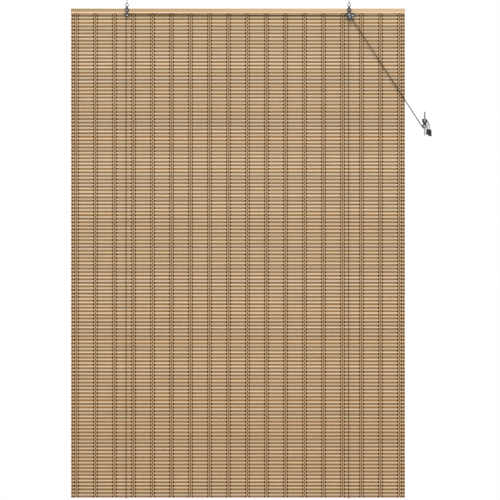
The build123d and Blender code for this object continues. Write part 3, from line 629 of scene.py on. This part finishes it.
cords = {"radius": 1.3 * mm, "lobes": 3, "lobeDepth": 0.16, "perTurn": 9.0 * mm, "ring": 9, "step": 2.2 * mm,
         "leftX": -503 * mm, "rightX": 496.5 * mm, "wrap": 5 * mm, "wrapSteps": 20, "bottomFlat": 0.2 * mm,
         "bottomSteps": 16, "leftEnd": -551.5 * mm, "rightEnd": -547 * mm, "ends": -35.2 * mm,
         "clearance": 0.3 * mm, "backShift": 3.2 * mm, "edgeRoom": 3 * mm, "leadResolution": 8,
         "tailResolution": 16, "tailBevel": 4}
leftAxleZ = middleOf("pulley_wheel_left")[2]
rearY, rightAxleZ = middleOf("pulley_wheel_right_rear")[1:]
frontY = middleOf("pulley_wheel_right_front")[1]
wheelX = cords["rightX"] + cords["wrap"]
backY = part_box("lift_cord_left")[1][1] - cords["radius"]
matBottom = matTop - totalPairs * pairPitch
turnRadius = (backY - rearY - cords["bottomFlat"]) / 2
turnZ = matBottom + cords["radius"]
windingLow, windingHigh = (Vector(corner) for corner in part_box("cleat_winding"))
landingX = windingLow.x - cords["clearance"] - cords["radius"]


def layCord(bm, points):
    # a laid cord: a lobed ring extruded from point to point along its line, and turned as it goes
    points = [Vector(p) for p in points]
    ahead = (points[1] - points[0]).normalized()
    side, travelled, previous = ahead.orthogonal().normalized(), 0.0, Matrix()
    verts = bmesh.ops.create_circle(bm, segments=cords["ring"], radius=cords["radius"])["verts"]
    for k, vert in enumerate(verts):
        vert.co *= 1 - cords["lobeDepth"] * (0.5 - 0.5 * math.cos(cords["lobes"] * math.tau * k / cords["ring"]))
    first = edges = edgesOf(verts)
    for i, point in enumerate(points):
        ahead = (points[min(i + 1, len(points) - 1)] - points[max(i - 1, 0)]).normalized()
        side = (side - ahead * side.dot(ahead)).normalized()
        if i:
            travelled += (point - points[i - 1]).length
            made = bmesh.ops.extrude_edge_only(bm, edges=edges)["geom"]
            verts = [v for v in made if isinstance(v, bmesh.types.BMVert)]
            edges = [e for e in made if isinstance(e, bmesh.types.BMEdge)]
        twist = Matrix.Rotation(travelled / cords["perTurn"] * math.tau, 4, "Z")
        facing = Matrix((side, ahead.cross(side), ahead)).transposed().to_4x4()
        place = Matrix.Translation(point) @ facing @ twist
        bmesh.ops.transform(bm, matrix=place @ previous.inverted(), verts=verts)
        previous = place
    closeEnds(bm, first, edges)


def straight(start, end):
    start, end = Vector(start), Vector(end)
    count = max(1, round((end - start).length / cords["step"]))
    return [start.lerp(end, i / count) for i in range(count + 1)]


def aroundWheel(x, z, y, first, second):
    # round a wheel, in X and Z, between two directions
    angles = [first + (second - first) * i / cords["wrapSteps"] for i in range(cords["wrapSteps"] + 1)]
    return [Vector((x + cords["wrap"] * math.cos(a), y, z + cords["wrap"] * math.sin(a))) for a in angles]


def leavingAngle(endZ):
    # where on its wheel, as an angle about the right axle, a cord leaves for the cleat
    dx, dz = landingX - wheelX, endZ - rightAxleZ
    return math.atan2(dz, dx) - math.asin(cords["wrap"] / math.hypot(dx, dz)) + math.pi / 2


def cordsPiece(name, routes):
    bm = bmesh.new()
    for route in routes:
        layCord(bm, route)
    bmesh.ops.recalc_face_normals(bm, faces=bm.faces)
    return finishPiece(bm, name, [cordFinish])


cordNodes = ("lift_cord_left", "lift_cord_right")
cordXs = (cords["leftX"], cords["rightX"])
headBottom = matTop - headEnd * pairPitch
runs = []
for x, axleZ in zip(cordXs, (leftAxleZ, rightAxleZ)):
    # the back run moves aside from the front one, so that the two lie side by side in the roll
    runs.append(straight((x, backY, cords["ends"]), (x + cords["backShift"], backY, headBottom)))
    runs.append(straight((x, rearY, headBottom), (x, rearY, axleZ)))
# over the left wheel and across to the right pulley's front wheel
leftWheelX = cords["leftX"] + cords["wrap"]
leaveLeft, leaveRight = leavingAngle(cords["leftEnd"]), leavingAngle(cords["rightEnd"])
crossing = aroundWheel(leftWheelX, leftAxleZ, rearY, math.pi, math.pi / 2)
crossing += straight((leftWheelX, rearY, leftAxleZ + cords["wrap"]),
                     (wheelX, frontY, rightAxleZ + cords["wrap"]))[1:]
crossing += aroundWheel(wheelX, rightAxleZ, frontY, math.pi / 2, leaveLeft)[1:]
rising = aroundWheel(wheelX, rightAxleZ, rearY, math.pi, leaveRight)
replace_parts(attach(cordsPiece("cordsAtBatten", runs + [crossing, rising]), "batten"), *cordNodes)

for index, (firstPair, endPair, hinge, zone) in enumerate(bendZones):
    top, bottom = matTop - firstPair * pairPitch, matTop - endPair * pairPitch
    last = index == len(bendZones) - 1
    routes = []
    for x in cordXs:
        backX = x + cords["backShift"]
        if last:
            # round the bottom edge of the mat, from its back to its front
            route = straight((backX, backY, top), (backX, backY, turnZ))
            middle = (backY + rearY) / 2
            for i in range(1, cords["bottomSteps"] + 1):
                angle = -math.pi * i / cords["bottomSteps"]
                across = backX + (x - backX) * i / cords["bottomSteps"]
                route.append(Vector((across, middle + (backY - middle) * math.cos(angle),
                                     turnZ + turnRadius * math.sin(angle))))
            route += straight((x, rearY, turnZ), (x, rearY, top))[1:]
            routes.append(route)
        else:
            routes.append(straight((backX, backY, top), (backX, backY, bottom)))
            routes.append(straight((x, rearY, bottom), (x, rearY, top)))
    piece = cordsPiece(f"cordsTurn{index + 1:02d}", routes)
    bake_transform(piece)
    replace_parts(piece, *cordNodes)

# from the right pulley down to the cleat
for name, endZ, angle, y in (("cordToCleatLeft", cords["leftEnd"], leaveLeft, frontY),
                             ("cordToCleatRight", cords["rightEnd"], leaveRight, rearY)):
    leave = Vector((wheelX + cords["wrap"] * math.cos(angle), y, rightAxleZ + cords["wrap"] * math.sin(angle)))
    landing = Vector((landingX, y, endZ))
    piece = cordsPiece(name, [straight(leave, landing)])
    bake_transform(piece)
    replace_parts(piece, *cordNodes)
print("lift cords made")

winding = {"turns": 5, "width": 10.6 * mm, "innerWidth": 0.92, "widthStep": 0.025, "reach": 16.4 * mm,
           "reachStep": 1.05 * mm, "pitch": 2.4 * mm, "fan": 0.8, "backY": -2.4 * mm, "rowStep": 2.1 * mm,
           "crossY": -15.4 * mm, "crossStep": 2.0 * mm, "dwell": 0.6, "samples": 44}
cleatX = (windingLow.x + windingHigh.x) / 2
cleatZ = (windingLow.z + windingHigh.z) / 2


def windingRoute():
    # figure-of-eight turns: behind the upper horn, across the front, behind the lower horn and back across
    route = []
    for i in range(winding["turns"] * winding["samples"] + 1):
        turn = i / winding["samples"]
        u = turn * math.tau
        layer = min(turn, winding["turns"] - 0.01)  # the last point belongs to the last turn
        centre = (layer - (winding["turns"] - 1) / 2) * winding["pitch"] * winding["fan"]
        reach = winding["reach"] + winding["reachStep"] * layer
        back = winding["backY"] + winding["rowStep"] * (0.5 - 0.5 * math.cos(layer * math.pi))
        front = winding["crossY"] - winding["crossStep"] * (0.5 - 0.5 * math.sin(u))
        share = (0.5 + 0.5 * math.cos(2 * u)) ** winding["dwell"]
        x = winding["width"] * math.sin(2 * u) * (winding["innerWidth"] + winding["widthStep"] * layer)
        z = reach * math.cos(u) + centre * math.sin(u) ** 2
        route.append((cleatX + x, back * share + front * (1 - share), cleatZ + z))
    return route


# in millimetres: how the two lift cords come on to the winding, and how the two tails leave it
leads = {
    "left": [(827.2, -9.6, -556.0), (831.0, -5.6, -559.2), (836.0, -2.6, -560.2)],
    "right": [(826.6, -4.4, -551.6), (830.6, -2.6, -556.6), (836.0, -0.6, -558.0)],
    "blackTail": [(840.0, -2.0, -523.5), (846.0, -6.5, -525.0), (849.4, -11.4, -527.6), (852.4, -13.0, -530.0)],
    "greyTail": [(840.0, -1.0, -526.5), (846.5, -1.8, -529.5), (850.2, -3.8, -534.0), (852.3, -4.0, -538.5)],
}
landings = {"left": [(landingX, frontY, cords["leftEnd"])], "right": [(landingX, rearY, cords["rightEnd"])]}


def splineCurve(name, points, resolution):
    # a NURBS spline with these control points
    curve = bpy.data.curves.new(name, "CURVE")
    curve.dimensions = "3D"
    curve.resolution_u = resolution
    spline = curve.splines.new("NURBS")
    spline.points.add(len(points) - 1)
    for at, point in zip(spline.points, points):
        at.co = (*point, 1.0)
    spline.order_u = 3
    spline.use_endpoint_u = True
    return curve


def smoothLine(points):
    # points read back from the spline
    holder = bpy.data.objects.new("line", splineCurve("line", points, cords["leadResolution"]))
    mesh = bpy.data.meshes.new_from_object(holder)
    line = [v.co.copy() for v in mesh.vertices]
    bpy.data.objects.remove(holder)
    bpy.data.meshes.remove(mesh)
    return line


leadLines = [smoothLine(landings.get(which, []) + inMetres(points)) for which, points in leads.items()]
piece = cordsPiece("cordWinding", [windingRoute()] + leadLines)
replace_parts(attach(piece, "ceiling"), "cleat_winding")
print("winding made")

# in millimetres, but for the tails' cord lengths, which are in metres
pulls = {
    "black": {"top": (861.6, -14.0, -567.0), "length": 30.0, "look": blackPlastic, "slot": "black_plastic",
              "route": [(852.4, -13.0, -530.0), (855.4, -14.6, -538.5), (859.6, -14.4, -552.0)],
              "cordLength": 0.0519},
    "grey": {"top": (852.3, 1.0, -563.0), "length": 27.0, "look": greyPlastic, "slot": "grey_plastic",
             "route": [(852.3, -4.0, -538.5), (854.8, -2.4, -545.0), (853.4, 0.2, -554.0)],
             "cordLength": 0.0377},
}
bell = {"crown": 4.8, "mouth": 7.5, "wall": 1.6, "hole": 1.7, "share": 0.45, "lean": 0.3, "segments": 48}


def pullPiece(name, top, length, look):
    # spun from its profile: crown, neck, skirt and lip outside, then the hollow inside
    shoulder = -length * bell["share"]
    crown, mouth, wall, hole = bell["crown"], bell["mouth"], bell["wall"], bell["hole"]
    profile = [(hole, 0), (crown - 1.0, 0), (crown + 0.4, -0.7), (crown + 1.3, -2.2),
               (crown + 1.9, shoulder * 0.45), (mouth - 0.6, shoulder * 0.9), (mouth - 0.35, shoulder * 1.45),
               (mouth, -length + 3.4), (mouth, -length + 1.4), (mouth - 0.5, -length + 0.3),
               (mouth - 1.0, -length), (mouth - wall, -length + 0.4), (mouth - wall - 0.3, -length + 4.0),
               (mouth - wall - 0.8, shoulder * 1.2), (crown - 0.4, shoulder), (hole, shoulder + 0.3)]
    bm = bmesh.new()
    spun(bm, inMetres(profile), bell["segments"])
    bmesh.ops.recalc_face_normals(bm, faces=bm.faces)
    bmesh.ops.translate(bm, verts=bm.verts, vec=Vector(top) * mm)
    return finishPiece(bm, name, [look])


for kind, made in pulls.items():
    bellPiece = pullPiece(f"pull{kind.title()}", made["top"], made["length"], made["look"])
    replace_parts(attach(bellPiece, "ceiling"), f"pull_{kind}")
    x, y, z = made["top"]
    route = made["route"] + [made["top"], (x + bell["lean"], y, z - made["length"] * bell["share"])]
    curve = splineCurve(f"tail{kind.title()}", inMetres(route), cords["tailResolution"])
    curve.bevel_depth = cords["radius"]
    curve.bevel_resolution = cords["tailBevel"]
    curve.use_fill_caps = True
    tail = bpy.data.objects.new(f"tail{kind.title()}", curve)
    bpy.context.scene.collection.objects.link(tail)
    curve.materials.append(cordFinish)
    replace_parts(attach(tail, "ceiling"), f"cord_tail_{kind}")
print("tails and pulls made")

view = {"distance": 14.0, "centreX": 0.0539, "centreZ": -1.1077, "frame": 2.246, "clipEnd": 60}
camera = bpy.data.objects.new("camera", bpy.data.cameras.new("camera"))
bpy.context.scene.collection.objects.link(camera)
camera.location = (view["centreX"], -view["distance"], view["centreZ"])
camera.rotation_euler = (math.radians(90), 0, 0)
camera.data.lens = camera.data.sensor_width * view["distance"] / view["frame"]
camera.data.clip_end = view["clipEnd"]
bpy.context.scene.camera = camera

lights = {"sunElevation": 58, "sunAzimuth": -12, "sunStrength": 1.6, "sunSize": 9, "sky": 0.74, "glossySky": 0.8}
sun = bpy.data.objects.new("sun", bpy.data.lights.new("sun", "SUN"))
sun.data.energy = lights["sunStrength"]
sun.data.angle = math.radians(lights["sunSize"])
sun.rotation_euler = (math.radians(90 - lights["sunElevation"]), 0, math.radians(lights["sunAzimuth"]))
bpy.context.scene.collection.objects.link(sun)

# white where the camera sees it, nearly so in what shines, and dimmer as a light
world = bpy.data.worlds.new("studio")
bpy.context.scene.world = world
world.use_nodes = True
tree = world.node_tree
background = tree.nodes["Background"]
rays = addNode(tree, "ShaderNodeLightPath")
shining = maths(tree, "MULTIPLY", rays.outputs["Is Glossy Ray"], lights["glossySky"])
seen = maths(tree, "MAXIMUM", rays.outputs["Is Camera Ray"],
             maths(tree, "MAXIMUM", shining, rays.outputs["Is Transmission Ray"]))
tree.links.new(remap(tree, seen, 0.0, 1.0, lights["sky"], 1.0), background.inputs["Strength"])
background.inputs["Color"].default_value = (1, 1, 1, 1)

ground = {"z": -2.5, "radius": 2.4, "segments": 96, "shade": 0.86, "roughness": 0.9}
bm = bmesh.new()
bmesh.ops.create_circle(bm, cap_ends=True, segments=ground["segments"], radius=ground["radius"])
bmesh.ops.translate(bm, verts=bm.verts, vec=(0, 0, ground["z"]))
floorMaterial, tree, shader = startMaterial("pale floor")
shader.inputs["Base Color"].default_value = (ground["shade"], ground["shade"], ground["shade"], 1)
shader.inputs["Roughness"].default_value = ground["roughness"]
floor = finishPiece(bm, "floor", [floorMaterial], smooth=False)
bpy.context.scene.view_settings.view_transform = "Standard"
print("camera, light and floor made")
